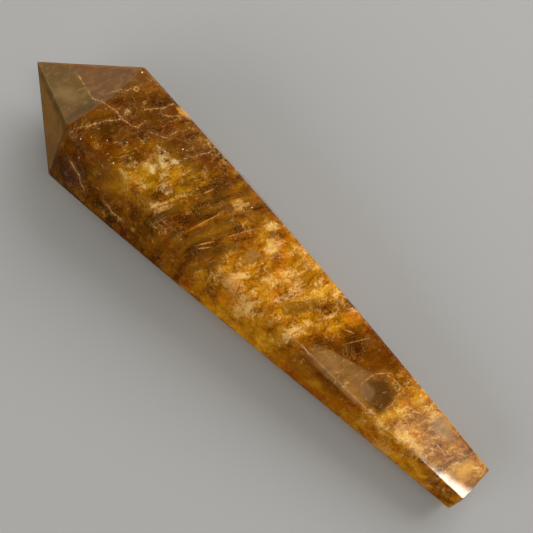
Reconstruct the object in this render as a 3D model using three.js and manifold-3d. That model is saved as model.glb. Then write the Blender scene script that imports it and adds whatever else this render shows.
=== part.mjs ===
// A hand-cut quartz wand: one piece of polished quartz with a broad six-sided point at one end,
// six long faces that taper away from it, and a small flat cut at the tail.
// Millimetres, +Z up. The wand lies on its flat underside, with the point towards -X.
import * as THREE from "three";
import { mergeVertices } from "three/addons/utils/BufferGeometryUtils.js";
import Module from "manifold-3d";

const wasm = await Module();
wasm.setup();

// ---- Driving dimensions -------------------------------------------------------------------

const LENGTH = 120; // tip to tail
const TIP = new THREE.Vector3(-LENGTH / 2, -0.2, 12);

// The six-sided section at the shoulder, at two places along the body and at the tail. Corners
// are [Y, Z], counterclockwise as seen from the tail: lower right, right, upper right, upper
// left, left and lower left.
const SECTIONS = [
  { x: -40, corners: [[10, 0], [13.3, 10.8], [12.2, 22.6], [-6.6, 23.4], [-14.9, 11.2], [-10, 0]] },
  { x: -10, corners: [[8.4, 0], [12.4, 9.2], [10.4, 18.8], [-5.4, 19.4], [-12.4, 9.3], [-8.2, 0]] },
  { x: 18, corners: [[6.6, 0], [9.4, 7.6], [8.5, 15], [-4.8, 15.3], [-9.6, 7.4], [-6.2, 0]] },
  { x: LENGTH / 2, corners: [[3.7, 0], [5.3, 4.6], [4.6, 9.1], [-2.9, 9.3], [-5.5, 4.6], [-3.4, 0]] },
];
// What polishing took off each of the six long ridges, as a radius at the shoulder and the tail.
const SOFTNESS = [[2.4, 0.6], [2.0, 0.8], [1.3, 0.5], [4.2, 0.4], [2.2, 0.8], [2.4, 0.6]];
// How far the middle of each long face swells past a flat one, at the shoulder and the tail. A
// face lies between its ridge and the next, so the last one is the flat underside.
const SWELL = [[0.35, 0.1], [0.35, 0.1], [0.5, 0.12], [0.25, 0.1], [0.35, 0.1], [0, 0]];
// The X at which each ridge meets the point.
const SHOULDERS = [-39.4, -40.4, -39, -40.2, -40.6, -39.4];

// Small hollows in the polished faces: each has the middle, half sizes and turn of the rounded
// lump that is missing there.
const HOLLOWS = [
  { at: [-28.4, 11.6, 21.4], half: [2.8, 0.8, 0.7], turn: [-0.6, 0.1, -0.05] }, // broken ridge
  { at: [60.2, 1.4, 9.5], half: [0.7, 1.5, 0.6], turn: [0, 0.2, 0.3] }, // nick in the tail's edge
  { at: [-38.6, -10.9, 17.9], half: [1.1, 0.8, 0.5], turn: [0.95, 0, 0.3] }, // pits below the point
  { at: [-34.7, -10.5, 17.7], half: [1.2, 0.8, 0.4], turn: [0.95, 0, -0.2] },
  { at: [-36.8, 8.2, 22.75], half: [0.55, 0.55, 0.35], turn: [-0.14, 0.12, 0] }, // open bubbles
  { at: [-34.0, 7.4, 22.45], half: [0.35, 0.35, 0.25], turn: [-0.14, 0.12, 0] },
];

const ARC_STEPS = 5; // chords across each softened ridge
const FACE_STEPS = 4; // chords across each face
const BODY_STEPS = 26; // lengths of the body, tip to tail
const OVERSHOOT = 4; // how far the uncut body runs past the tip
const POINT_REACH = 9; // how many times its own length the uncut point runs back

// ---- The tapering body --------------------------------------------------------------------

// Past the shoulder the point cuts the body away, so there its section stays the shoulder's.
const heldAt = (x) => Math.max(x, SECTIONS[0].x);

// The corners of the section at X: each moves along one smooth curve through the given sections.
function cornersAt(x) {
  const from = heldAt(x);
  const weights = SECTIONS.map((here) => {
    const others = SECTIONS.filter((other) => other !== here);
    return others.reduce((weight, other) => (weight * (from - other.x)) / (here.x - other.x), 1);
  });
  return SECTIONS[0].corners.map((_, i) => {
    const corner = new THREE.Vector2();
    SECTIONS.forEach(({ corners }, s) => {
      corner.addScaledVector(new THREE.Vector2(...corners[i]), weights[s]);
    });
    return corner;
  });
}

// A size given at the shoulder and the tail, at X.
function sizeAt([shoulder, tail], x) {
  return THREE.MathUtils.mapLinear(heldAt(x), SECTIONS[0].x, LENGTH / 2, shoulder, tail);
}

// The closed outline of one section, with each corner rounded and each face slightly crowned.
function section(x) {
  const corners = cornersAt(x);
  const count = corners.length;
  const arcs = corners.map((here, i) => {
    const before = corners[(i + count - 1) % count];
    const after = corners[(i + 1) % count];
    const back = before.clone().sub(here);
    const ahead = after.clone().sub(here);
    const half = back.angleTo(ahead) / 2;
    const room = 0.45 * Math.min(back.length(), ahead.length());
    const reach = Math.min(sizeAt(SOFTNESS[i], x) / Math.tan(half), room);
    return new THREE.QuadraticBezierCurve(
      here.clone().add(back.setLength(reach)),
      here,
      here.clone().add(ahead.setLength(reach)),
    ).getPoints(ARC_STEPS);
  });
  return arcs.flatMap((arc, i) => {
    const start = arc[ARC_STEPS];
    const end = arcs[(i + 1) % count][0];
    const outward = new THREE.Vector2(end.y - start.y, start.x - end.x).normalize();
    const face = [];
    for (let step = 1; step < FACE_STEPS; step++) {
      const t = step / FACE_STEPS;
      const swell = 4 * t * (1 - t) * sizeAt(SWELL[i], x);
      face.push(start.clone().lerp(end, t).addScaledVector(outward, swell));
    }
    return [...arc, ...face];
  });
}

// Rings of points joined into one closed mesh, with a fan over each end.
function loft(rings) {
  const count = rings[0].length;
  const last = (rings.length - 1) * count;
  const index = [];
  for (let ring = 0; ring < last; ring += count) {
    for (let k = 0; k < count; k++) {
      const [a, b] = [ring + k, ring + ((k + 1) % count)];
      index.push(a, b, b + count, a, b + count, a + count);
    }
  }
  for (let k = 1; k + 1 < count; k++) {
    index.push(0, k + 1, k, last, last + k, last + k + 1);
  }
  return new THREE.BufferGeometry().setFromPoints(rings.flat()).setIndex(index);
}

function bodyGeometry() {
  const rings = [];
  for (let i = 0; i <= BODY_STEPS; i++) {
    const x = THREE.MathUtils.lerp(TIP.x - OVERSHOOT, LENGTH / 2, i / BODY_STEPS);
    rings.push(section(x).map((p) => new THREE.Vector3(x, p.x, p.y)));
  }
  return loft(rings);
}

// ---- The six-sided point ------------------------------------------------------------------

// Each side of the point is the plane through the tip and two neighbouring shoulder corners, so
// the point is a pyramid whose edges run from the tip through those corners and on past the body.
function pointGeometry() {
  const base = SHOULDERS.map((x, i) => {
    const corner = cornersAt(x)[i];
    return new THREE.Vector3(x, corner.x, corner.y).sub(TIP).multiplyScalar(POINT_REACH).add(TIP);
  });
  const index = [];
  base.forEach((_, i) => index.push(0, 1 + ((i + 1) % base.length), 1 + i));
  for (let k = 1; k + 1 < base.length; k++) {
    index.push(1, 1 + k, 2 + k);
  }
  return new THREE.BufferGeometry().setFromPoints([TIP, ...base]).setIndex(index);
}

// ---- Hollows ------------------------------------------------------------------------------

function lumpGeometry({ at, half, turn }) {
  return new THREE.SphereGeometry(1, 12, 8)
    .scale(...half)
    .rotateX(turn[0])
    .rotateY(turn[1])
    .rotateZ(turn[2])
    .translate(...at);
}

// ---- Joining and cutting ------------------------------------------------------------------

function toSolid(geometry) {
  geometry.deleteAttribute("normal");
  geometry.deleteAttribute("uv");
  const merged = mergeVertices(geometry);
  const solid = new wasm.Manifold(
    new wasm.Mesh({
      numProp: 3,
      vertProperties: merged.attributes.position.array,
      triVerts: new Uint32Array(merged.index.array),
    }),
  );
  if (solid.volume() <= 0) throw new Error("a solid is empty or inside out");
  return solid;
}

function toGeometry(solid) {
  const { vertProperties, triVerts } = solid.getMesh();
  const geometry = new THREE.BufferGeometry()
    .setAttribute("position", new THREE.BufferAttribute(vertProperties, 3))
    .setIndex(new THREE.BufferAttribute(triVerts, 1));
  geometry.computeVertexNormals();
  return geometry;
}

let stone = toSolid(bodyGeometry()).intersect(toSolid(pointGeometry()));
for (const hollow of HOLLOWS) {
  stone = stone.subtract(toSolid(lumpGeometry(hollow)));
}

// ---- The wand -----------------------------------------------------------------------------

const goldenQuartz = new THREE.MeshStandardMaterial({
  name: "golden_quartz",
  color: new THREE.Color(0.66, 0.38, 0.08),
  roughness: 0.08,
  metalness: 0,
});

const wand = new THREE.Mesh(toGeometry(stone), goldenQuartz);
wand.name = "quartz_wand";

// The origin is the middle of the box round the wand, on the surface that it lies on.
wand.geometry.computeBoundingBox();
const middle = wand.geometry.boundingBox.getCenter(new THREE.Vector3());
wand.position.set(-middle.x, -middle.y, -wand.geometry.boundingBox.min.z);

const part = new THREE.Group();
part.add(wand);
export default part;
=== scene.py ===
# A hand-cut wand of golden healer quartz: a clear polished stone with golden clouds, healed
# cracks and smoky windows inside it. Metres, in the CAD model's frame: +X runs from the point
# to the tail, +Z is up, and the wand lies on its flat underside.
import math
import random

import bmesh
import bpy
from mathutils import Euler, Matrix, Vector, bvhtree


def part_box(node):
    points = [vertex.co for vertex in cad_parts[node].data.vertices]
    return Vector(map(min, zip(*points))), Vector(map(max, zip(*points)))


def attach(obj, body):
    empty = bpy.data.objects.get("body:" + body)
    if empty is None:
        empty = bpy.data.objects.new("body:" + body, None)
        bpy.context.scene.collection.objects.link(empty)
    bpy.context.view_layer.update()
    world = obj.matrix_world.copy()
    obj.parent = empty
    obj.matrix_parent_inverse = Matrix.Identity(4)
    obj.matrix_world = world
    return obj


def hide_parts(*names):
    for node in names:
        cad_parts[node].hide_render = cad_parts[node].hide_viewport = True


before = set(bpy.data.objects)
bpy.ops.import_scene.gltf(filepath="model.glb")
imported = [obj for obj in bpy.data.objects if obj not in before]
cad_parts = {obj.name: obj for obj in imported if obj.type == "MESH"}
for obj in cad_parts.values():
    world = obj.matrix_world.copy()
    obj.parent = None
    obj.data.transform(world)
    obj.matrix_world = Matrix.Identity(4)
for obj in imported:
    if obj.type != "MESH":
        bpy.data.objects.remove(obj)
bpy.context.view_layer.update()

MM = 0.001
LOW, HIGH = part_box("quartz_wand")
LENGTH = (HIGH.x - LOW.x) / MM  # millimetres


# ---- Node helpers ---------------------------------------------------------------------------


def srgb(red, green, blue):
    """A display colour, 0 to 255, as the linear colour that shaders use."""
    def linear(value):
        value /= 255
        return value / 12.92 if value <= 0.04045 else ((value + 0.055) / 1.055) ** 2.4
    return (linear(red), linear(green), linear(blue), 1)


def feed(tree, socket, value):
    """Links a socket to another, or sets its plain value."""
    if isinstance(value, bpy.types.NodeSocket):
        tree.links.new(value, socket)
    else:
        socket.default_value = value


def place(tree, kind, settings=None, **inputs):
    """A new node. Its inputs are named by keyword, with _ for a space."""
    node = tree.nodes.new(kind)
    for name, value in (settings or {}).items():
        setattr(node, name, value)
    for name, value in inputs.items():
        feed(tree, node.inputs[name.replace("_", " ")], value)
    return node


def calc(tree, operation, *values):
    """A Math node's result."""
    node = place(tree, "ShaderNodeMath", {"operation": operation})
    for socket, value in zip(node.inputs, values):
        feed(tree, socket, value)
    return node.outputs[0]


def calc_vector(tree, operation, *values):
    """A Vector Math node's result: a number for a dot product or a length, or else a vector."""
    node = place(tree, "ShaderNodeVectorMath", {"operation": operation})
    for socket, value in zip(node.inputs, values):
        feed(tree, socket, value)
    return node.outputs["Value" if operation in ("DOT_PRODUCT", "LENGTH") else "Vector"]


def blend(tree, share, below, above, mode="MIX"):
    """Two colours mixed by a share: all below at 0, all above at 1."""
    settings = {"data_type": "RGBA", "blend_type": mode, "clamp_result": True}
    node = place(tree, "ShaderNodeMix", settings)
    feed(tree, node.inputs[0], share)
    feed(tree, node.inputs[6], below)
    feed(tree, node.inputs[7], above)
    return node.outputs[2]


def step(tree, value, low, high, below=0.0, above=1.0):
    """Goes smoothly from below to above while the value goes from low to high."""
    if low > high:
        low, high, below, above = high, low, above, below
    node = place(tree, "ShaderNodeMapRange", {"interpolation_type": "SMOOTHSTEP"})
    for socket, number in zip(node.inputs, (value, low, high, below, above)):
        feed(tree, socket, number)
    return node.outputs["Result"]


def noise(tree, vector, per_mm, detail=3, roughness=0.5, shift=None):
    """A cloud pattern, 0 to 1, with so many lumps in a millimetre."""
    if shift is not None:
        vector = calc_vector(tree, "ADD", vector, shift)
    node = place(
        tree, "ShaderNodeTexNoise", Vector=vector, Scale=per_mm, Detail=detail, Roughness=roughness,
    )
    return node.outputs["Fac"]


def millimetres(tree):
    """Where a point is in the frame, in millimetres."""
    at = place(tree, "ShaderNodeTexCoord").outputs["Object"]
    return calc_vector(tree, "MULTIPLY", at, (1 / MM, 1 / MM, 1 / MM))


def wander(tree, at, per_mm, reach, detail=2):
    """Coordinates moved about by up to a few times reach, so that what is drawn on them is uneven."""
    push = place(tree, "ShaderNodeTexNoise", Vector=at, Scale=per_mm, Detail=detail).outputs["Color"]
    push = calc_vector(tree, "SUBTRACT", push, (0.5, 0.5, 0.5))
    return calc_vector(tree, "MULTIPLY_ADD", push, (reach * 2, reach * 2, reach * 2), at)


def around(tree, value, scale):
    """A pattern of 0 to 1 as a change to either side of 0."""
    return calc(tree, "MULTIPLY", calc(tree, "SUBTRACT", value, 0.5), scale)


def fade(tree, amount, share):
    """1 where amount is 0, and less by share where it is 1."""
    return calc(tree, "MULTIPLY_ADD", amount, -share, 1)


def greatest(tree, values):
    """The greatest of some values, or 0."""
    best = 0.0
    for value in values:
        best = calc(tree, "MAXIMUM", best, value)
    return best


def crossing(tree, pattern, level, width):
    """1 along the line where a pattern passes a level, and 0 from width to either side of it."""
    return step(tree, calc(tree, "ABSOLUTE", calc(tree, "SUBTRACT", pattern, level)), width, 0.0)


def beyond(tree, at, point, across):
    """How far at is beyond a plane through point that lies across a direction."""
    return calc_vector(tree, "DOT_PRODUCT", calc_vector(tree, "SUBTRACT", at, point), across)


def ramp(tree, share, stops):
    """A colour ramp from stops of (place, colour)."""
    node = place(tree, "ShaderNodeValToRGB", Fac=share)
    elements = node.color_ramp.elements
    while len(elements) < len(stops):
        elements.new(1)
    for element, (position, colour) in zip(elements, stops):
        element.position = position
        element.color = colour
    return node.outputs["Color"]


def new_group(name, inputs, outputs):
    """An empty shader node group with its sockets, as (tree, input node, output node)."""
    tree = bpy.data.node_groups.new(name, "ShaderNodeTree")
    for socket_name, kind in inputs:
        tree.interface.new_socket(socket_name, in_out="INPUT", socket_type=kind)
    for socket_name, kind in outputs:
        tree.interface.new_socket(socket_name, in_out="OUTPUT", socket_type=kind)
    return tree, tree.nodes.new("NodeGroupInput"), tree.nodes.new("NodeGroupOutput")


# ---- What is in the stone -------------------------------------------------------------------
# Places are in millimetres from the frame's origin: x along the wand, y across it, z up.

CLEAR_GOLD = srgb(255, 247, 224)
ORANGE_WASH = srgb(255, 222, 120)
OLIVE_WASH = srgb(236, 255, 255)
HAZE = srgb(102, 80, 8)
ROSE_HAZE = srgb(116, 78, 32)
GOLD_HAZE = srgb(146, 108, 50)
OLIVE = srgb(122, 90, 24)
SMOKE = srgb(122, 84, 36)
DARK_SMOKE = srgb(72, 43, 24)
PEACH = srgb(230, 186, 116)
CREAM = srgb(250, 222, 158)
WHITE_MILK = srgb(224, 206, 164)
THIN_MILK = srgb(216, 166, 66)
CRACK_PEACH = srgb(210, 162, 112)
LIMONITE = srgb(226, 170, 70)
PLUM = srgb(88, 54, 46)
TIP_MIST = srgb(150, 128, 86)
TIP_OLIVE = srgb(80, 60, 0)
LILAC = srgb(156, 126, 104)
PALE_HAZE = srgb(140, 114, 64)
WEDGE_HAZE = srgb(168, 131, 84)

# The stone's own colour from its darkest, deepest clear parts to its cloudiest.
AMBER_SCALE = [
    (0.0, srgb(50, 20, 0)),
    (0.16, srgb(78, 38, 0)),
    (0.32, srgb(106, 58, 0)),
    (0.46, srgb(138, 84, 0)),
    (0.60, srgb(176, 120, 6)),
    (0.74, srgb(204, 148, 20)),
    (0.88, srgb(216, 170, 66)),
    (1.0, srgb(232, 194, 116)),
]
DARKEST = 0.16  # where on that scale the clearest parts end

GROWTH = Vector((0.91, -0.40, 0.12)).normalized()  # across the healed growth planes
ALONG = Vector((0.40, 0.91, 0.0)).normalized()  # along them
LOWER_SIDE = (-0.054, 1.0, 0)  # across the ridge between the upper face and the side below it
FAR_SIDE = (0.075, 1.0, 0)  # across the ridge beyond the upper face

# Planes, as a point on each and a direction across it: where the tip's haze ends in the body,
# and where the haze turns rosy and golden.
TIP_END = ((-39.3, 2.0, 22.6), Vector((0.93, -0.28, 0.25)).normalized())
TIP_ROSY = ((-45.6, 2.6, 19.6), (0.17, 0.98, 0))
TIP_GOLDEN = ((-60, -0.2, 12), (0.32, 1, 0))
TIP_MIST_SPOT = ((-47.0, -1.0, 19), 5.0, 2.0, 11)  # middle, half length, half width, turn in degrees
TIP_OLIVE_SPOT = ((-40.8, -1.7, 23), 3.4, 1.5, 65)

# How the stone changes from one growth plane to the next: the distance along GROWTH from the
# middle of the wand, then how light, how mottled, how streaked and how milky it is there.
BANDS = [
    (-52, 0.38, 0.2, 0.1, 0.0), (-38, 0.37, 0.15, 0.1, 0.0), (-33, 0.33, 0.3, 0.1, 0.1),
    (-26, 0.33, 0.4, 0.2, 0.15), (-21, 0.47, 0.5, 0.3, 0.8), (-15, 0.46, 0.65, 0.6, 0.65),
    (-11, 0.41, 0.4, 1.0, 0.2), (-4, 0.41, 0.4, 1.0, 0.2), (1, 0.52, 0.7, 0.4, 0.6),
    (6, 0.61, 0.7, 0.2, 1.0), (13, 0.575, 0.85, 0.2, 0.95), (18, 0.52, 0.75, 0.3, 0.7),
    (22, 0.39, 0.3, 0.3, 0.2), (27, 0.33, 0.2, 0.2, 0.0), (32, 0.44, 0.4, 0.1, 0.5),
    (38, 0.55, 0.8, 0.5, 0.9), (45, 0.53, 0.8, 0.5, 0.85), (54, 0.52, 0.8, 0.5, 0.85),
]

# Lighter and darker parts: middle, half length, half width, turn in degrees, and how much.
SHADE_STRENGTH = 0.8
SHADES = [
    ((-19.3, 7.8, 20), 8.2, 4.3, 2, -0.17),
    ((-23.5, -5.3, 21), 0.8, 0.9, 80, -0.2),
    ((-5.5, 3.7, 19), 0.9, 0.6, -13, -0.3),
    ((-1.7, 5.2, 18), 1.6, 1.0, 68, -0.15),
    ((10.1, 0.8, 17), 3.3, 1.0, 71, -0.1),
    ((24.5, 4.5, 14), 4.0, 1.5, -14, -0.12),
    ((-18.5, 2.5, 21), 3.8, 2.9, 77, 0.08),
    ((-34.0, -9.1, 18), 1.2, 1.4, -36, -0.17),
    ((-37.5, -10.8, 16), 1.7, 2.0, -16, -0.14),
    ((-27.5, -12.1, 12), 7.8, 3.3, 2, -0.07),
    ((-23.2, -2.0, 19), 7.2, 2.9, 56, 0.10),
    ((56.2, -4.2, 7), 3.1, 1.4, 9, -0.2),
    ((26.1, -6.6, 10), 3.2, 0.8, 11, 0.12),
    ((-1.6, -7.2, 14), 3.6, 1.6, -39, -0.22),
    ((9.6, -7.5, 12), 4.0, 1.2, 8, -0.04),
    ((-20.6, -5.9, 20), 1.6, 1.8, 14, 0.13),
    ((-27.4, -2.2, 22), 2.9, 1.6, -33, -0.08),
    ((-5.0, 7.4, 18), 1.2, 1.0, 33, 0.15),
    ((-4.5, -2.6, 19), 2.7, 1.6, -29, -0.12),
    ((2.0, 3.6, 18), 1.7, 1.4, 19, 0.08),
    ((17.4, -3.5, 15), 1.6, 1.2, 0, 0.13),
    ((20.5, 4.7, 15), 1.2, 1.0, -6, -0.15),
    ((24.9, -5.8, 11), 2.1, 0.8, 7, 0.10),
    ((48.7, -3.6, 10), 2.5, 0.6, 3, 0.12),
]

# Milky patches with ragged edges: middle, half length, half width, turn, and how milky.
MILKY = [
    ((-37.8, -6.8, 21), 1.1, 0.6, -71, 0.35),
    ((-35.0, 4.0, 23), 1.0, 0.8, 65, 0.5),
    ((-24.2, -0.4, 21), 1.7, 1.0, 76, 0.65),
    ((-24.0, 3.5, 21), 1.4, 0.8, 72, 0.65),
    ((-22.6, 1.9, 21), 1.5, 1.0, -5, 0.65),
    ((-21.9, 3.8, 21), 1.7, 0.8, 5, 0.7),
    ((-21.8, 1.1, 21), 1.7, 0.7, 87, 0.65),
    ((-24.4, -0.7, 21), 1.6, 0.8, 67, 0.6),
    ((-20.1, -1.2, 21), 2.4, 1.0, 60, 0.6),
    ((-18.3, -3.6, 20), 3.0, 0.8, 55, 0.55),
    ((-17.0, -3.7, 19), 3.4, 0.5, 62, 0.65),
    ((-15.8, -6.9, 18), 1.8, 0.8, 16, 0.55),
    ((-7.6, 7.2, 19), 1.5, 1.4, -88, 0.6),
    ((-4.1, 4.3, 19), 1.9, 0.8, 9, 0.35),
    ((-1.0, 8.2, 18), 1.9, 1.1, 17, 0.7),
    ((0.2, -8.0, 13), 1.7, 1.0, 9, 0.3),
    ((1.1, 6.1, 18), 1.8, 1.2, 76, 0.6),
    ((1.5, -3.8, 17), 2.1, 2.2, 60, 0.9),
    ((1.9, 5.8, 18), 2.3, 1.8, 80, 0.75),
    ((1.9, 0.3, 18), 1.7, 1.4, -83, 0.6),
    ((5.6, -3.5, 17), 1.6, 1.4, 78, 0.6),
    ((5.9, -5.5, 14), 2.9, 2.3, 67, 0.9),
    ((7.2, 3.2, 17), 1.8, 1.2, -83, 0.6),
    ((13.5, 4.0, 16), 2.6, 0.8, 61, 0.4),
    ((16.0, -3.5, 15), 2.4, 1.7, 83, 0.9),
    ((18.2, 6.6, 15), 2.1, 0.8, 6, 0.5),
    ((18.6, 4.3, 15), 2.0, 1.0, 88, 0.6),
    ((36.5, -2.8, 13), 8.1, 0.5, 4, 0.4),
    ((39.4, 4.9, 12), 1.9, 1.4, -10, 0.35),
    ((41.9, 5.9, 12), 1.6, 0.8, -17, 0.5),
    ((43.4, -5.7, 7), 2.3, 1.2, -2, 0.4),
    ((44.6, -1.4, 11), 5.8, 1.1, -5, 0.8),
]

# Clear windows into the stone, with straight sides: middle, half length, half width, and turn.
WINDOWS = [
    ((-7.8, -0.3, 19), 4.5, 1.2, 68),
    ((-4.6, -2.2, 18), 3.8, 0.9, 61),
    ((-10.7, 4.0, 19), 2.2, 1.2, 67),
    ((-12.3, 0.8, 20), 1.5, 0.8, -10),
    ((-16.2, -4.3, 19), 3.3, 0.8, 61),
    ((-4.3, -5.2, 16), 3.5, 0.6, 51),
    ((13.5, 1.3, 16), 3.3, 1.0, 59),
]

# Plain parts: middle, half length, half width, turn, and the share of the mottle they lose.
PLAIN = [
    ((-22.6, 7.4, 21), 7.4, 3.0, 14, 0.75),
    ((-28.0, -7.6, 19), 7.0, 2.6, -6, 0.5),
]

# The round smoky window in the tail, and the hazy wedge beside it: middle, half length, half
# width, turn. The wedge ends at a straight edge and at the ridge.
ROUND_WINDOW = ((35.3, 0.3, 13), 3.7, 3.3, 10)
WEDGE = ((28.4, -1.8, 14), 8.6, 4.2, 6)
WEDGE_EDGE = ((23.2, -0.3, 14.6), (-0.31, 0.95, 0))
WEDGE_RIDGE = (-0.045, 1, 0)

# Tints: middle, half length, half width, turn, how strong, and the colour.
TINTS = [
    ((0.5, 1.8, 18), 1.4, 1.5, 36, 0.55, WEDGE_HAZE),
    ((-28.2, 11.9, 21), 1.5, 0.7, 8, 0.9, LIMONITE),
    ((-36.0, -10.5, 16), 2.9, 2.2, 1, 0.75, PLUM),
    ((33.4, -0.9, 13), 2.0, 1.5, -24, 0.45, LILAC),
    ((48.3, 4.4, 11), 3.2, 1.6, -6, 0.65, LILAC),
    ((56.0, 1.6, 10), 2.0, 3.0, 5, 0.35, PEACH),
]

# Healed cracks, pale where their planes meet the surface: the points that each runs through.
# Those of the stone's head, then those of its tail.
HEAD_CRACKS = [
    [(-50.4, 3.4, 16.9), (-48.4, 3.2, 18.0), (-46.2, 2.6, 19.2), (-44.2, 2.1, 20.4),
     (-42.1, 1.5, 21.7), (-40.8, 1.8, 22.4), (-39.0, 2.1, 23.4), (-37.3, 2.5, 23.1),
     (-35.8, 2.7, 23.0), (-34.6, 2.5, 22.8)],
    [(-39.3, -6.3, 22.4), (-39.5, -5.4, 22.9), (-38.8, -4.3, 23.1), (-37.3, -1.9, 23.0),
     (-36.1, 0.4, 23.0), (-34.6, 2.5, 22.8), (-33.4, 2.7, 22.7), (-32.3, 2.8, 22.5),
     (-31.4, 3.5, 22.4), (-31.3, 5.0, 22.3)],
    [(-34.6, 2.5, 22.8), (-35.0, 3.9, 22.8), (-35.0, 4.7, 22.8)],
    [(-33.1, 6.5, 22.4), (-32.3, 8.0, 22.2), (-31.2, 9.0, 21.9), (-30.7, 10.6, 21.6),
     (-30.4, 11.5, 21.4)],
    [(-31.2, 9.0, 21.9), (-30.2, 8.6, 21.8), (-29.2, 9.2, 21.6), (-27.0, 11.7, 20.9)],
    [(-29.5, 4.3, 22.1), (-27.7, 5.2, 21.8), (-26.5, 6.0, 21.6), (-25.8, 8.5, 21.2)],
    [(-21.2, 5.7, 20.9), (-20.1, 7.5, 20.6), (-19.4, 9.2, 20.3), (-18.9, 10.3, 20.0)],
    [(-41.5, 3.1, 21.9), (-40.0, 4.4, 22.6), (-38.2, 6.5, 23.1), (-37.9, 8.0, 22.9)],
    [(-37.4, -9.6, 18.0), (-35.8, -9.9, 17.2), (-34.5, -10.3, 16.5), (-33.6, -10.9, 15.4),
     (-32.3, -11.4, 14.4)],
    [(-28.0, -10.3, 15.2), (-26.7, -10.3, 14.9), (-25.5, -10.6, 14.3), (-22.8, -10.2, 14.4)],
    [(-20.3, 10.9, 20.2), (-18.9, 10.6, 20.0), (-19.3, 12.2, 17.8)],
]
TAIL_CRACKS = [
    [(2.6, 3.2, 17.7), (5.0, 6.2, 17.2), (5.8, 8.5, 16.8)],
    [(8.8, -1.7, 16.7), (11.0, 1.4, 16.4), (12.2, 4.2, 16.2)],
    [(31.7, 0.4, 13.4), (32.4, 2.5, 13.3), (33.5, 4.1, 13.1), (34.7, 5.0, 12.8)],
    [(34.3, 4.1, 13.0), (35.6, 4.6, 12.7), (37.0, 4.3, 12.5), (38.1, 3.2, 12.4), (38.5, 1.6, 12.4),
     (38.3, -0.0, 12.4)],
    [(36.4, -5.3, 9.7), (37.8, -4.3, 11.1), (38.8, -2.8, 12.2)],
    [(40.6, -5.6, 8.1), (42.5, -5.6, 7.7), (44.3, -6.1, 6.0)],
    [(41.8, -4.5, 10.0), (43.5, -4.9, 8.8), (44.7, -6.0, 6.2)],
    [(43.3, -1.5, 11.7), (44.1, 0.4, 11.6), (44.9, 2.4, 11.5), (45.7, 4.3, 11.3),
     (46.4, 6.1, 11.0)],
    [(45.4, -2.8, 11.3), (46.1, -0.8, 11.3), (47.8, 1.0, 11.1), (49.8, 1.6, 10.8),
     (52.0, 1.3, 10.5)],
    [(46.6, 2.8, 11.2), (48.0, 3.5, 11.0), (50.0, 3.7, 10.7)],
    [(53.7, -4.9, 6.0), (53.8, -3.2, 9.4), (54.8, -1.4, 10.0)],
]
DARK_HEAD_CRACKS = [
    [(-29.4, 4.7, 22.1), (-26.0, 6.5, 21.5), (-22.5, 8.9, 20.7), (-18.6, 11.0, 19.9)],
    [(-9.4, 4.9, 19.3), (-5.9, 4.1, 18.9), (-3.5, 2.7, 18.6), (-0.6, -1.3, 18.1)],
]
HEAD_RINGS = [((-37.0, 8.6, 23), 0.5), ((-34.1, 7.9, 22), 0.32)]  # round bubbles: middle and radius
CRACK_DEPTH = 2.0  # how far below and above its points a crack reaches

# Straight bright streaks where a healed plane catches the light: middle, half length, half
# width, turn in degrees, and how strong they are. Those of the head, then those of the tail.
HEAD_STREAKS = [
    ((-17.3, -3.6, 20), 2.8, 0.18, 60, 0.85),
    ((-17.0, -4.3, 20), 1.9, 0.14, 61, 0.6),
    ((-13.6, 4.6, 20), 1.3, 0.18, 74, 0.8),
    ((-14.2, 1.9, 20), 0.5, 0.16, 58, 0.7),
    ((-9.8, 0.7, 19), 5.0, 0.16, 74, 0.6),
    ((-7.1, -2.9, 19), 2.1, 0.20, 57, 0.8),
    ((-7.1, -4.1, 19), 1.0, 0.14, 53, 0.6),
    ((-4.0, 3.0, 18), 4.5, 0.14, 62, 0.6),
    ((-3.1, -3.2, 18), 2.4, 0.26, 58, 0.95),
    ((-6.5, -3.5, 19), 1.7, 0.16, 56, 0.6),
    ((-16.1, -5.3, 18), 2.7, 0.16, 61, 0.5),
    ((-19.0, 4.1, 21), 1.9, 0.16, 72, 0.5),
    ((-3.4, 4.4, 18), 1.1, 0.14, 62, 0.7),
    ((-16.6, -7.0, 18), 1.4, 0.12, 8, 0.6),
    ((-15.8, -6.2, 18), 1.7, 0.12, 3, 0.6),
    ((-15.5, -5.4, 19), 1.3, 0.12, 0, 0.6),
    ((-32.2, -1.5, 22), 0.7, 0.18, 62, 0.6),
    ((-31.7, -4.1, 22), 0.5, 0.14, 76, 0.6),
    ((-29.2, -2.1, 22), 1.6, 0.12, 62, 0.6),
    ((-26.6, -10.3, 15), 1.1, 0.14, -12, 0.7),
]
TAIL_STREAKS = [
    ((23.3, 4.8, 15), 1.4, 0.20, 23, 0.8),
    ((21.9, 2.2, 15), 0.6, 0.14, 72, 0.6),
    ((25.7, 4.7, 14), 3.3, 0.12, 59, 0.7),
    ((11.8, -0.8, 16), 1.2, 0.14, -6, 0.7),
    ((20.2, -3.5, 15), 2.0, 0.14, -9, 0.7),
    ((35.9, 1.5, 13), 0.7, 0.14, 61, 0.5),
    ((52.2, 1.9, 10), 1.2, 0.14, 3, 0.7),
    ((53.1, 0.9, 10), 1.6, 0.14, 83, 0.7),
    ((4.2, 5.9, 17), 3.1, 0.14, 59, 0.4),
]

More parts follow.
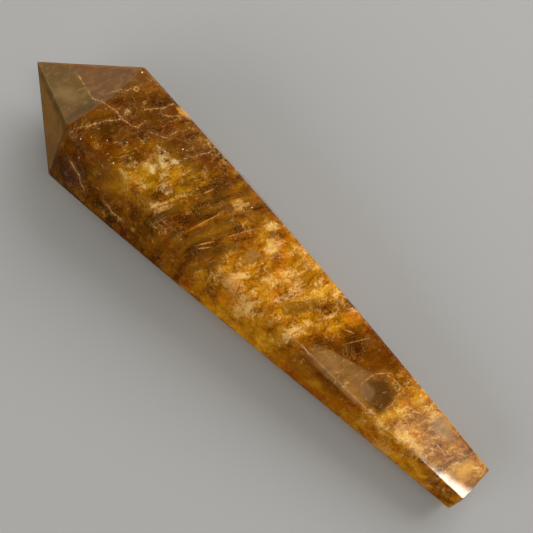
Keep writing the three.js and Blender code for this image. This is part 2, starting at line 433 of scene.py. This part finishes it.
# Bright specks just under the polish: middle and radius.
SPECKS = [
    ((-38.8, 11.7, 22.5), 0.30), ((-29.7, -4.6, 21.9), 0.20), ((-24.6, 3.9, 21.5), 0.22),
    ((-36.0, -8.3, 19.4), 0.22), ((-30.7, 0.0, 22.3), 0.18), ((-31.1, -6.4, 20.9), 0.15),
    ((-20.5, 1.4, 20.9), 0.20), ((-22.7, 6.7, 21.0), 0.25), ((-37.3, -5.8, 22.4), 0.20),
    ((-25.1, 3.1, 21.6), 0.15), ((-28.1, -4.6, 21.6), 0.12), ((1.6, 0.2, 17.8), 0.30),
    ((-5.9, 8.3, 18.5), 0.22), ((15.0, 7.1, 15.6), 0.20), ((43.0, 5.5, 11.6), 0.30),
    ((47.5, -2.2, 11.0), 0.20), ((23.3, 4.8, 14.6), 0.20), ((-28.4, -0.6, 22.0), 0.12),
    ((-33.5, -2.4, 22.6), 0.15), ((-36.0, -4.1, 22.8), 0.12), ((-22.1, 4.1, 21.1), 0.20),
    ((-21.9, 2.1, 21.1), 0.20), ((-22.0, 3.2, 21.1), 0.18), ((-22.0, 7.1, 20.9), 0.15),
    ((-18.6, 11.0, 19.9), 0.15), ((8.5, 6.1, 16.6), 0.15), ((10.6, -3.0, 16.4), 0.15),
    ((31.3, -0.2, 13.5), 0.15), ((32.1, 2.2, 13.3), 0.15), ((36.9, 4.1, 12.6), 0.20),
    ((39.3, 4.1, 12.2), 0.20), ((38.6, 5.4, 12.2), 0.15),
]


def local(tree, at, middle, length, width, turn, depth):
    """Coordinates on which an ellipsoid lying at middle has a radius of 1."""
    return place(
        tree, "ShaderNodeMapping", {"vector_type": "TEXTURE"}, Vector=at, Location=middle,
        Rotation=(0, 0, math.radians(turn)), Scale=(length, width, depth),
    ).outputs[0]


def spot(tree, at, middle, length, width, turn, edge=(0.55, 1.25), depth=9.0, peak=1.0):
    """As high as peak inside a lying ellipsoid, fading to 0 across its edge. It uses plain
    numbers, because the renderer can't hold as many Mapping nodes as there are spots."""
    away = calc_vector(tree, "SUBTRACT", at, middle)
    cos, sin = math.cos(math.radians(turn)), math.sin(math.radians(turn))
    squared = 0.0
    for axis in (
        (cos / length, sin / length, 0), (-sin / width, cos / width, 0), (0, 0, 1 / depth),
    ):
        reach = calc_vector(tree, "DOT_PRODUCT", away, axis)
        squared = calc(tree, "MULTIPLY_ADD", reach, reach, squared)
    return step(tree, calc(tree, "SQRT", squared), *edge, peak, 0.0)


def crack_distance(tree, at, start, end):
    """How far at is from an upright strip that runs from start to end, in millimetres."""
    run = end - start
    strip = place(
        tree, "ShaderNodeMapping", {"vector_type": "TEXTURE"}, Vector=at, Location=(start + end) / 2,
        Rotation=(0, 0, math.atan2(run.y, run.x)),
    ).outputs[0]
    reach = Vector((run.xy.length / 2, 0, CRACK_DEPTH))
    nearest = calc_vector(tree, "MAXIMUM", strip, -reach)
    nearest = calc_vector(tree, "MINIMUM", nearest, reach)
    return calc_vector(tree, "LENGTH", calc_vector(tree, "SUBTRACT", strip, nearest))


def window(tree, at, middle, length, width, turn, depth=7.0):
    """1 inside a lying box with rounded corners, with a soft edge."""
    inside = local(tree, at, middle, length, width, turn, depth)
    squared = calc_vector(tree, "MULTIPLY", inside, inside)
    squared = calc_vector(tree, "MULTIPLY", squared, squared)
    return step(tree, calc_vector(tree, "LENGTH", squared), 1.8, 0.4)


def growth_bands(tree, share):
    """How light, mottled, streaked and milky the growth plane at a share of the length is."""
    bands = ramp(tree, share, [(0.5 + reach / LENGTH, values) for reach, *values in BANDS])
    milky = bands.node.outputs["Alpha"]
    light, mottle, streaky = place(tree, "ShaderNodeSeparateColor", Color=bands).outputs[:3]
    return light, mottle, streaky, milky


def hazy_wedge(tree, firm, smoke):
    """How much of the tail's hazy wedge there is."""
    inside = spot(tree, firm, *WEDGE, edge=(0.6, 1.1))
    wedge = calc(tree, "MULTIPLY", inside, step(tree, beyond(tree, firm, *WEDGE_EDGE), 0.2, -0.2))
    ridge = step(tree, calc_vector(tree, "DOT_PRODUCT", firm, WEDGE_RIDGE), -5.6, -5.1)
    wedge = calc(tree, "MULTIPLY", wedge, ridge)
    return calc(tree, "MULTIPLY", wedge, fade(tree, smoke, 0.85))


def straight_streaks(tree, firm):
    """Lighter and darker streaks along the growth planes, with pale edges."""
    planes = place(
        tree, "ShaderNodeCombineXYZ", X=calc_vector(tree, "DOT_PRODUCT", firm, GROWTH),
        Y=calc_vector(tree, "DOT_PRODUCT", firm, ALONG),
    ).outputs[0]
    streak = noise(tree, calc_vector(tree, "MULTIPLY", planes, (0.55, 0.05, 0)), 1.0, 2, 0.5)
    edge = crossing(tree, streak, 0.56, 0.012)
    edge = calc(tree, "MAXIMUM", edge, crossing(tree, streak, 0.43, 0.010))
    return calc(tree, "MULTIPLY_ADD", edge, 0.13, around(tree, streak, 0.7))


def hazy_tip(tree, near, colour, lumps, fibres, torn):
    """The colour of the hazy tip, where the stone's own colour shows here and there."""
    haze = blend(tree, step(tree, beyond(tree, near, *TIP_ROSY), -0.4, 0.6), HAZE, ROSE_HAZE)
    haze = blend(tree, step(tree, beyond(tree, near, *TIP_GOLDEN), 0.3, -0.6), haze, GOLD_HAZE)
    mist = spot(tree, near, *TIP_MIST_SPOT, edge=(0.3, 1.2), depth=6.0, peak=0.6)
    haze = blend(tree, mist, haze, TIP_MIST)
    haze = blend(tree, step(tree, lumps, 0.42, 0.66, 0, 0.5), haze, colour)
    wisps = calc(tree, "ADD", torn, around(tree, fibres, 0.4))
    haze = blend(tree, step(tree, wisps, 0.5, 0.68, 0, 0.6), haze, PALE_HAZE)
    return blend(tree, spot(tree, near, *TIP_OLIVE_SPOT, edge=(0.4, 1.3), peak=0.9), haze, TIP_OLIVE)


def golden_clouds():
    """The pattern that every part of the stone shares, so that its layers agree."""
    tree, given, result = new_group(
        "golden_clouds",
        [("Light", "NodeSocketFloat")],
        [("Colour", "NodeSocketColor"), ("Cover", "NodeSocketFloat")],
    )
    at = millimetres(tree)
    loose = wander(tree, at, 0.13, 5.0, detail=3)
    near = wander(tree, at, 0.4, 0.9, detail=3)
    ragged = wander(tree, near, 1.3, 0.4, detail=3)
    firm = wander(tree, at, 0.35, 0.3, detail=2)

    # The growth planes' own light, mottle, streaks and milkiness, and the table's shades.
    reach = calc_vector(tree, "DOT_PRODUCT", loose, GROWTH)
    share = calc(tree, "MULTIPLY_ADD", reach, 1 / LENGTH, 0.5)
    light, mottle, streaky, milky_band = growth_bands(tree, share)
    light = calc(tree, "ADD", light, given.outputs["Light"])
    for *shape, change in SHADES:
        shade = spot(tree, ragged, *shape, edge=(0.3, 1.5), peak=change * SHADE_STRENGTH)
        light = calc(tree, "ADD", light, shade)

    # The lower side is plainer. Its colour is painted darker at the head, as painted shade on the
    # side turned from the light, and lighter at the tail, as a painted glow of light shining through
    # the stone. The far side is dark.
    side = calc_vector(tree, "DOT_PRODUCT", near, LOWER_SIDE)
    side = step(tree, side, -5.0, -8.0)
    light = calc(tree, "MULTIPLY_ADD", side, step(tree, share, 0.4, 0.62, -0.07, 0.11), light)
    milky_band = calc(tree, "MULTIPLY", milky_band, fade(tree, side, 0.5))
    far_side = step(tree, calc_vector(tree, "DOT_PRODUCT", near, FAR_SIDE), 9.3, 10.3)
    light = calc(tree, "MULTIPLY_ADD", far_side, -0.09, light)

    # Angular patches, lumps, knots a millimetre across and fine healed ripples, all longer
    # along the growth planes.
    sheet = place(
        tree, "ShaderNodeCombineXYZ", X=calc_vector(tree, "DOT_PRODUCT", near, GROWTH),
        Y=calc_vector(tree, "DOT_PRODUCT", near, ALONG),
        Z=place(tree, "ShaderNodeSeparateXYZ", Vector=near).outputs["Z"],
    ).outputs[0]
    long = calc_vector(tree, "MULTIPLY", sheet, (1, 0.6, 0.8))
    cells = place(tree, "ShaderNodeTexVoronoi", Vector=long, Scale=0.45).outputs["Color"]
    cells = place(tree, "ShaderNodeSeparateColor", Color=cells).outputs[0]
    lumps = noise(tree, long, 0.28, 4, 0.5)
    knots = noise(tree, long, 0.9, 3, 0.5, shift=(3, 9, 2))
    swirl = calc_vector(tree, "MULTIPLY", wander(tree, sheet, 0.18, 3.2), (2.0, 0.5, 0.7))
    fibres = noise(tree, swirl, 1.0, 4, 0.6)
    grain = noise(tree, at, 2.6, 2, 0.6)
    torn = calc_vector(tree, "MULTIPLY", sheet, (1, 0.7, 0.8))
    torn = noise(tree, torn, 0.6, 6, 0.62, shift=(7, 70, 1))

    # Clear windows, the round smoky one and the wedge, and how much mottle they leave.
    clear = greatest(tree, (window(tree, firm, *row) for row in WINDOWS))
    clear = step(tree, calc(tree, "ADD", clear, around(tree, knots, 0.5)), 0.3, 0.8)
    smoke = spot(tree, near, *ROUND_WINDOW, edge=(0.7, 1.2))
    wedge = hazy_wedge(tree, firm, smoke)
    quiet = fade(tree, clear, 0.4)
    for amount, lost in ((smoke, 0.7), (side, 0.2)):
        quiet = calc(tree, "MULTIPLY", quiet, fade(tree, amount, lost))
    for *shape, lost in PLAIN:
        plain = spot(tree, ragged, *shape, edge=(0.5, 1.4), peak=lost)
        quiet = calc(tree, "MULTIPLY", quiet, fade(tree, plain, 1))
    quiet = calc(tree, "MULTIPLY", quiet, fade(tree, wedge, 0.5))

    uneven = around(tree, lumps, 1.2)
    for pattern, amount in ((knots, 0.6), (cells, 0.14), (fibres, 0.5), (grain, 0.42)):
        uneven = calc(tree, "ADD", uneven, around(tree, pattern, amount))
    light = calc(tree, "MULTIPLY_ADD", uneven, calc(tree, "MULTIPLY", mottle, quiet), light)
    light = calc(tree, "MULTIPLY_ADD", clear, -0.05, light)

    # Fine dark cracks, then the straight streaks.
    veins = crossing(tree, noise(tree, long, 0.16, 4, 0.55, shift=(60, 5, 9)), 0.5, 0.010)
    light = calc(tree, "MULTIPLY_ADD", veins, calc(tree, "MULTIPLY", quiet, -0.07), light)
    streaks = straight_streaks(tree, firm)
    streaky = calc(tree, "MULTIPLY", streaky, fade(tree, side, 0.6))
    light = calc(tree, "MULTIPLY_ADD", streaks, streaky, light)
    light = calc(tree, "MAXIMUM", light, DARKEST)
    colour = ramp(tree, light, AMBER_SCALE)

    # Orange and olive parts.
    rusty = step(tree, noise(tree, loose, 0.2, 3, shift=(40, 3, 8)), 0.5, 0.64, 0, 0.8)
    colour = blend(tree, rusty, colour, blend(tree, 1.0, colour, ORANGE_WASH, mode="MULTIPLY"))
    green = step(tree, noise(tree, loose, 0.22, 3, shift=(4, 53, 8)), 0.40, 0.56, 0.2, 1.0)
    green = calc(tree, "MULTIPLY", green, step(tree, share, 0.5, 0.4))
    colour = blend(tree, green, colour, blend(tree, 1.0, colour, OLIVE_WASH, mode="MULTIPLY"))

    # The colours of the clear windows, the smoky one and the wedge.
    colour = blend(tree, calc(tree, "MULTIPLY", clear, 0.45), colour, OLIVE)
    dark_smoke = calc(tree, "MULTIPLY", smoke, 0.75)
    smoke_colour = blend(tree, dark_smoke, blend(tree, knots, OLIVE, SMOKE), DARK_SMOKE)
    smoke_colour = blend(tree, step(tree, fibres, 0.62, 0.72, 0, 0.3), smoke_colour, CREAM)
    colour = blend(tree, calc(tree, "MULTIPLY", smoke, 0.88), colour, smoke_colour)
    haze = calc(tree, "MULTIPLY", wedge, step(tree, torn, 0.35, 0.65, 0.45, 0.8))
    colour = blend(tree, haze, colour, WEDGE_HAZE)
    flecks = step(tree, calc(tree, "ADD", fibres, around(tree, grain, 0.5)), 0.6, 0.75, 0, 0.5)
    colour = blend(tree, calc(tree, "MULTIPLY", wedge, flecks), colour, CREAM)

    # Milky patches, torn at the edges.
    patches = (
        spot(tree, ragged, *shape, edge=(0.0, 1.9), peak=strength) for *shape, strength in MILKY
    )
    milky = greatest(tree, patches)
    milky = calc(tree, "MAXIMUM", milky, calc(tree, "MULTIPLY", milky_band, 0.38))
    for pattern, amount in ((torn, 2.1), (fibres, 0.7), (grain, 0.8)):
        milky = calc(tree, "ADD", milky, around(tree, pattern, amount))
    milky = step(tree, milky, 0.15, 1.05, 0, 0.85)
    milky = calc(tree, "MULTIPLY", milky, step(tree, milky_band, 0, 0.2, 0.75, 1.0))
    milky = calc(tree, "MULTIPLY", milky, quiet)
    milk = blend(tree, step(tree, lumps, 0.4, 0.6), PEACH, CREAM)
    milk = blend(tree, step(tree, share, 0.42, 0.34), milk, WHITE_MILK)
    milk = blend(tree, step(tree, milky, -0.05, 0.5), THIN_MILK, milk)
    colour = blend(tree, milky, colour, milk)
    for *shape, strength, tint in TINTS:
        colour = blend(tree, spot(tree, ragged, *shape, peak=strength), colour, tint)

    tip = step(tree, beyond(tree, near, *TIP_END), 0.35, -0.35)
    haze = hazy_tip(tree, near, colour, lumps, fibres, torn)
    colour = blend(tree, calc(tree, "MULTIPLY", tip, 0.9), colour, haze)

    cover = calc(tree, "MAXIMUM", step(tree, light, 0.15, 0.45, 0.55, 1.0), milky)
    feed(tree, result.inputs["Colour"], colour)
    feed(tree, result.inputs["Cover"], cover)
    return tree


# ---- Materials ------------------------------------------------------------------------------

GLOW_REACH = 2.0  # how far light spreads under the surface, in millimetres
FAR_AWAY = 99.0  # millimetres, further than any crack


def new_material(name):
    """An empty material, as (material, tree, output node)."""
    material = bpy.data.materials.new(name)
    material.use_nodes = True
    tree = material.node_tree
    tree.nodes.clear()
    return material, tree, tree.nodes.new("ShaderNodeOutputMaterial")


def polished_quartz():
    """Clear golden quartz with a hand polish. Lamps shine through it onto what is inside."""
    material, tree, output = new_material("polished_quartz")
    at = place(tree, "ShaderNodeTexCoord").outputs["Object"]
    ripples = noise(tree, at, 120, 2)
    bump = place(tree, "ShaderNodeBump", Height=ripples, Strength=0.15, Distance=0.0004)
    stone = place(
        tree, "ShaderNodeBsdfPrincipled", Base_Color=CLEAR_GOLD, Roughness=0.02, IOR=1.54,
        Transmission_Weight=1.0, Normal=bump.outputs["Normal"],
    )
    path = place(tree, "ShaderNodeLightPath")
    lamps = calc(tree, "MAXIMUM", path.outputs["Is Shadow Ray"], path.outputs["Is Diffuse Ray"])
    open_way = place(tree, "ShaderNodeBsdfTransparent", Color=CLEAR_GOLD)
    mixed = place(tree, "ShaderNodeMixShader", Fac=lamps)
    feed(tree, mixed.inputs[1], stone.outputs[0])
    feed(tree, mixed.inputs[2], open_way.outputs[0])
    feed(tree, output.inputs["Surface"], mixed.outputs[0])
    amber = place(tree, "ShaderNodeVolumeAbsorption", Color=srgb(255, 222, 165), Density=40)
    feed(tree, output.inputs["Volume"], amber.outputs[0])
    return material


def inner_cloud(name, clouds, light, covered):
    """Cloudy golden stone, with openings where the quartz is clear."""
    material, tree, output = new_material(name)
    pattern = place(tree, "ShaderNodeGroup", {"node_tree": clouds}, Light=light)
    body = place(
        tree, "ShaderNodeBsdfPrincipled", Base_Color=pattern.outputs["Colour"], Roughness=0.8,
        Specular_IOR_Level=0.0, Subsurface_Weight=0.6, Subsurface_Radius=(1.0, 0.45, 0.12),
        Subsurface_Scale=GLOW_REACH * MM,
    )
    if not covered:
        feed(tree, body.inputs["Alpha"], pattern.outputs["Cover"])
    feed(tree, output.inputs["Surface"], body.outputs[0])
    return material


def nearest_crack(tree, at, cracks):
    """How far at is from the nearest of some cracks, in millimetres."""
    away = FAR_AWAY
    for points in cracks:
        for start, end in zip(points, points[1:]):
            gap = crack_distance(tree, at, Vector(start), Vector(end))
            away = calc(tree, "MINIMUM", away, gap)
    return away


def healed_cracks(name, cracks, streaks, dark_cracks=(), rings=()):
    """Clear but for the pale, beaded lines where healed cracks reach the surface, and streaks."""
    material, tree, output = new_material(name)
    at = millimetres(tree)

    # Uneven, beaded and broken lines, with a faint veil beside them.
    fine = wander(tree, wander(tree, at, 0.5, 0.5), 2.2, 0.16)
    away = nearest_crack(tree, fine, cracks)
    beads = noise(tree, at, 2.4, 2, 0.6, shift=(9, 2, 5))
    width = calc(tree, "MULTIPLY_ADD", step(tree, beads, 0.35, 0.75), -0.16, away)
    broken = step(tree, noise(tree, at, 0.8, 3, 0.6, shift=(2, 2, 50)), 0.36, 0.55, 0.2, 0.75)
    crack = calc(tree, "MULTIPLY", step(tree, width, 0.09, -0.04), broken)
    veil = calc(tree, "MULTIPLY", step(tree, away, 0.9, 0.0, 0, 0.3), step(tree, beads, 0.4, 0.7))
    crack = calc(tree, "MAXIMUM", crack, veil)

    straight = wander(tree, at, 2.0, 0.08)
    patchy = step(tree, beads, 0.3, 0.6, 0.3, 1.0)
    for *shape, strength in streaks:
        line = spot(tree, straight, *shape, edge=(0.3, 1.1), depth=3.0, peak=strength)
        crack = calc(tree, "MAXIMUM", crack, calc(tree, "MULTIPLY", line, patchy))

    # Loose feathers and flakes between them.
    loose = wander(tree, at, 0.3, 1.5, detail=3)
    feathers = crossing(tree, noise(tree, loose, 0.5, 4, 0.6, shift=(8, 1, 30)), 0.5, 0.012)
    feathers = calc(tree, "MULTIPLY", feathers, step(tree, noise(tree, at, 0.25, 3), 0.42, 0.55))
    crack = calc(tree, "MAXIMUM", crack, calc(tree, "MULTIPLY", feathers, 0.42))
    flakes = step(tree, noise(tree, at, 2.8, 3, 0.6, shift=(1, 7, 3)), 0.56, 0.7, 0, 0.22)
    flakes = calc(tree, "MULTIPLY", flakes, step(tree, noise(tree, loose, 0.4, 3), 0.45, 0.6))
    crack = calc(tree, "MAXIMUM", crack, flakes)

    for middle, radius in rings:
        out = calc_vector(tree, "LENGTH", local(tree, fine, middle, radius, radius, 0, 9.0))
        ring = calc(tree, "ABSOLUTE", calc(tree, "SUBTRACT", out, 0.8))
        ring = step(tree, ring, 0.35, 0.1, 0, 0.7)
        crack = calc(tree, "MAXIMUM", crack, ring)
    colour = CRACK_PEACH
    if dark_cracks:
        dark = step(tree, nearest_crack(tree, fine, dark_cracks), 0.2, 0.0)
        colour = blend(tree, dark, CRACK_PEACH, DARK_SMOKE)
        crack = calc(tree, "MAXIMUM", crack, calc(tree, "MULTIPLY", dark, 0.7))
    body = place(
        tree, "ShaderNodeBsdfPrincipled", Base_Color=colour, Roughness=0.6, Specular_IOR_Level=0.0,
        Alpha=crack,
    )
    feed(tree, output.inputs["Surface"], body.outputs[0])
    return material


def bright_speck():
    """Tiny bubbles and flakes that flash white."""
    material, tree, output = new_material("bright_speck")
    at = millimetres(tree)
    cool = step(tree, noise(tree, at, 0.6), 0.4, 0.6)
    tint = blend(tree, cool, srgb(255, 236, 200), srgb(236, 236, 246))
    body = place(
        tree, "ShaderNodeBsdfPrincipled", Base_Color=tint, Roughness=0.3, Specular_IOR_Level=0.6,
    )
    feed(tree, output.inputs["Surface"], body.outputs[0])
    return material


# ---- Pieces ---------------------------------------------------------------------------------

SHARP = math.radians(20)  # ridges that were polished round bend less than this from face to face
HEAD_MIDDLE = Vector((-40, 0, 11.7)) * MM  # the middle of the stone's section near its point
TAIL_MIDDLE = Vector((60, 0.6, 4.6)) * MM
HEAD_TO_TAIL = Vector((-2.0, 0.0, 18.3)) * MM  # a point on the plane between head and tail

# How wide each layer inside the stone is, as a share of the stone.
CRACK_LAYER = 0.975
NEAR_LAYER = 0.96
DEEP_LAYER = 0.62
SHORTER = 0.1  # how much of that the layer also loses in length

SPECK_COUNT = 100
SPECK_SIZE = 0.65  # of the radius in the table
SPECK_HEIGHT = 0.6  # flattened to this share
SPECK_DEPTH = 0.42  # millimetres under the polish


def cad_copy():
    """A merged copy of the stone's solid."""
    shape = bmesh.new()
    shape.from_mesh(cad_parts["quartz_wand"].data)
    bmesh.ops.remove_doubles(shape, verts=shape.verts, dist=1e-3 * MM)
    return shape


def finish_piece(name, shape, *materials):
    """Makes an object of a finished bmesh, smooth but for its sharp edges."""
    for face in shape.faces:
        face.smooth = True
    for edge in shape.edges:
        edge.smooth = len(edge.link_faces) == 2 and edge.calc_face_angle() < SHARP
    mesh = bpy.data.meshes.new(name)
    shape.to_mesh(mesh)
    shape.free()
    for material in materials:
        mesh.materials.append(material)
    piece = bpy.data.objects.new(name, mesh)
    bpy.context.scene.collection.objects.link(piece)
    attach(piece, "root")
    return piece


def make_stone(material):
    """The clear, polished stone itself, in place of its plain solid."""
    stone = finish_piece("polished_stone", cad_copy(), material)
    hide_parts("quartz_wand")


def shrunk_stone(share):
    """The stone's own shape, shrunk round its middle line."""
    shape = cad_copy()
    for vert in shape.verts:
        reach = (vert.co.x - HEAD_MIDDLE.x) / (TAIL_MIDDLE.x - HEAD_MIDDLE.x)
        middle = HEAD_MIDDLE.lerp(TAIL_MIDDLE, reach)
        vert.co.y = middle.y + (vert.co.y - middle.y) * share
        vert.co.z = middle.z + (vert.co.z - middle.z) * share
        vert.co.x *= 1 - (1 - share) * SHORTER
    return shape


def make_cracks():
    """A layer just under the polish that carries the healed cracks."""
    shape = shrunk_stone(CRACK_LAYER)
    everything = shape.verts[:] + shape.edges[:] + shape.faces[:]
    bmesh.ops.bisect_plane(shape, geom=everything, plane_co=HEAD_TO_TAIL, plane_no=GROWTH)
    for face in shape.faces:
        face.material_index = int((face.calc_center_median() - HEAD_TO_TAIL).dot(GROWTH) > 0)
    layer = finish_piece(
        "healed_cracks", shape,
        healed_cracks("head_cracks", HEAD_CRACKS, HEAD_STREAKS, DARK_HEAD_CRACKS, HEAD_RINGS),
        healed_cracks("tail_cracks", TAIL_CRACKS, TAIL_STREAKS),
    )
    layer.visible_shadow = False
    layer.visible_diffuse = False


def make_specks(material):
    """Bubbles and flakes under the polish, those in the table and a scatter of smaller ones."""
    chance = random.Random(4)
    stone = cad_copy()
    outside = bvhtree.BVHTree.FromBMesh(stone)
    specks = [(Vector(middle) * MM, radius * SPECK_SIZE) for middle, radius in SPECKS]
    while len(specks) < SPECK_COUNT:
        reach = chance.random() ** 1.4
        angle = chance.uniform(0, 2 * math.pi)
        out = Vector((0, math.cos(angle), math.sin(angle)))
        middle = HEAD_MIDDLE.lerp(TAIL_MIDDLE, reach * 0.95)
        found = outside.ray_cast(middle + out * 0.05, -out)[0]
        specks.append((found, 0.03 + 0.05 * chance.random()))
    stone.free()
    shape = bmesh.new()
    for found, radius in specks:
        outward = outside.find_nearest(found)[1]
        at = found - outward * (SPECK_DEPTH * MM)
        made = bmesh.ops.create_icosphere(shape, subdivisions=1, radius=radius * MM)["verts"]
        bmesh.ops.scale(shape, verts=made, vec=(1, 1, SPECK_HEIGHT))
        bmesh.ops.translate(shape, verts=made, vec=at)
    finish_piece("bright_specks", shape, material)


def make_cloud(name, share, material):
    """A cloudy layer inside the stone."""
    finish_piece(name, shrunk_stone(share), material)


clouds = golden_clouds()
make_stone(polished_quartz())
make_cracks()
make_specks(bright_speck())
make_cloud("near_clouds", NEAR_LAYER, inner_cloud("near_clouds", clouds, 0.0, covered=False))
# The deep layer's colour is painted 0.12 lighter on the amber scale. This is painted light that makes
# up for the shade the near layer casts on it.
make_cloud("deep_clouds", DEEP_LAYER, inner_cloud("deep_clouds", clouds, 0.12, covered=True))


# ---- Floor, lamps and camera ----------------------------------------------------------------

FLOOR_REACH = 1.5  # metres from the middle to each side
LAMP_AIM = Vector((0, 0, 10)) * MM
LAMP_DISTANCE = 0.6
# Soft lamps: name, the direction each shines from, width and height in metres, and radiance.
LAMPS = [
    ("window", (0.05, 0.78, 0.62), (0.55, 0.35), 5.5),
    ("wall", (-0.25, -0.80, 0.52), (0.5, 0.35), 3.0),
    ("ceiling", (0.1, 0.1, 1), (0.9, 0.9), 0.35),
]

SENSOR = 36.0  # millimetres across the camera's square picture
PICTURE = 533  # pixels across the picture
FOCAL_PIXELS = 900
AZIMUTH, ELEVATION = math.radians(44.81), math.radians(78)
CAMERA_AIM = Vector((2.84, 3.37, 10.0)) * MM
CAMERA_DISTANCE = 176.36 * MM


def make_floor():
    """A plain pale floor."""
    shape = bmesh.new()
    bmesh.ops.create_grid(shape, x_segments=1, y_segments=1, size=FLOOR_REACH)
    mesh = bpy.data.meshes.new("floor")
    shape.to_mesh(mesh)
    shape.free()
    material, tree, output = new_material("floor")
    body = place(tree, "ShaderNodeBsdfPrincipled", Base_Color=srgb(163, 163, 162), Roughness=0.9)
    feed(tree, output.inputs["Surface"], body.outputs[0])
    mesh.materials.append(material)
    floor = bpy.data.objects.new("floor", mesh)
    bpy.context.scene.collection.objects.link(floor)
    floor.visible_glossy = False  # the polished sides mirror the dim studio only


def make_lamp(name, direction, size, radiance):
    """A rectangular lamp that faces the stone from a direction, as bright all over as radiance."""
    lamp = bpy.data.lights.new(name, "AREA")
    lamp.shape = "RECTANGLE"
    lamp.size, lamp.size_y = size
    lamp.energy = radiance * math.pi * size[0] * size[1]
    holder = bpy.data.objects.new(name, lamp)
    direction = Vector(direction).normalized()
    holder.location = LAMP_AIM + direction * LAMP_DISTANCE
    holder.rotation_euler = direction.to_track_quat("Z", "Y").to_euler()
    holder.visible_glossy = False  # no lamp is mirrored: the polish shows the world's window only
    bpy.context.scene.collection.objects.link(holder)


def make_world():
    """A dim studio with pale walls on one side, a window whose light the tail's upper face
    mirrors, and the sun's glint beside it."""
    world = bpy.data.worlds.new("studio")
    world.use_nodes = True
    tree = world.node_tree
    background = tree.nodes["Background"]
    background.inputs["Color"].default_value = (1, 0.94, 0.82, 1)
    direction = place(tree, "ShaderNodeTexCoord").outputs["Generated"]
    east, north, height = place(tree, "ShaderNodeSeparateXYZ", Vector=direction).outputs

    # The walls, brighter on one side, and the table's far edge.
    walls = step(tree, height, -0.2, 0.2, 0.2, 1.0)
    walls = calc(tree, "MULTIPLY", walls, step(tree, height, 0.25, 0.9, 1.0, 0.2))
    open_side = calc_vector(tree, "DOT_PRODUCT", direction, (-0.6, 0.8, 0))
    strength = calc(tree, "MULTIPLY", walls, step(tree, open_side, -0.1, 0.5, 0.12, 0.5))
    table = step(tree, height, 0.0, -0.3)
    table = calc(tree, "MULTIPLY", table, step(tree, north, 0.1, 0.35, 0, 0.35))
    strength = calc(tree, "ADD", strength, table)
    overhead = step(tree, height, 0.6, 0.75)

    # The window, for the upper face, and a paler strip beside it, for the lower one.
    window_pane = calc(
        tree, "MULTIPLY", step(tree, east, 0.335, 0.385), step(tree, north, -0.06, 0.0),
    )
    window_pane = calc(tree, "MULTIPLY", window_pane, step(tree, north, 0.5, 0.35, 0, 1.35))
    strength = calc(tree, "MULTIPLY_ADD", window_pane, overhead, strength)
    strip = calc(tree, "MULTIPLY", step(tree, east, 0.16, 0.24), step(tree, east, 0.42, 0.36))
    strip = calc(tree, "MULTIPLY", strip, step(tree, north, -0.5, -0.4))
    strip = calc(tree, "MULTIPLY", strip, step(tree, north, -0.1, -0.2, 0, 1.2))
    strength = calc(tree, "MULTIPLY_ADD", strip, overhead, strength)

    # The glint, between slanting edges.
    edge = calc(tree, "MULTIPLY_ADD", east, -2.0, calc(tree, "ADD", north, 2.0 * 0.385))
    glint = calc(tree, "MULTIPLY", step(tree, edge, 0.04, -0.06), step(tree, east, 0.375, 0.41))
    glint = calc(tree, "MULTIPLY", glint, step(tree, east, 0.5, 0.46))
    glint = calc(tree, "MULTIPLY", glint, step(tree, north, -0.035, -0.01, 0, 24))
    strength = calc(tree, "MULTIPLY_ADD", glint, overhead, strength)
    feed(tree, background.inputs["Strength"], strength)
    bpy.context.scene.world = world


def make_camera():
    """The camera, looking down at the stone."""
    camera = bpy.data.cameras.new("camera")
    camera.sensor_width = SENSOR
    camera.lens = FOCAL_PIXELS * SENSOR / PICTURE
    camera.clip_start = 0.01
    holder = bpy.data.objects.new("camera", camera)
    back = Vector((
        math.sin(AZIMUTH) * math.cos(ELEVATION),
        -math.cos(AZIMUTH) * math.cos(ELEVATION),
        math.sin(ELEVATION),
    ))
    holder.location = CAMERA_AIM + back * CAMERA_DISTANCE
    holder.rotation_euler = Euler((math.pi / 2 - ELEVATION, 0, AZIMUTH))
    bpy.context.scene.collection.objects.link(holder)
    bpy.context.scene.camera = holder


make_floor()
make_world()
make_camera()
for lamp_row in LAMPS:
    make_lamp(*lamp_row)
bpy.context.scene.view_settings.view_transform = "Standard"
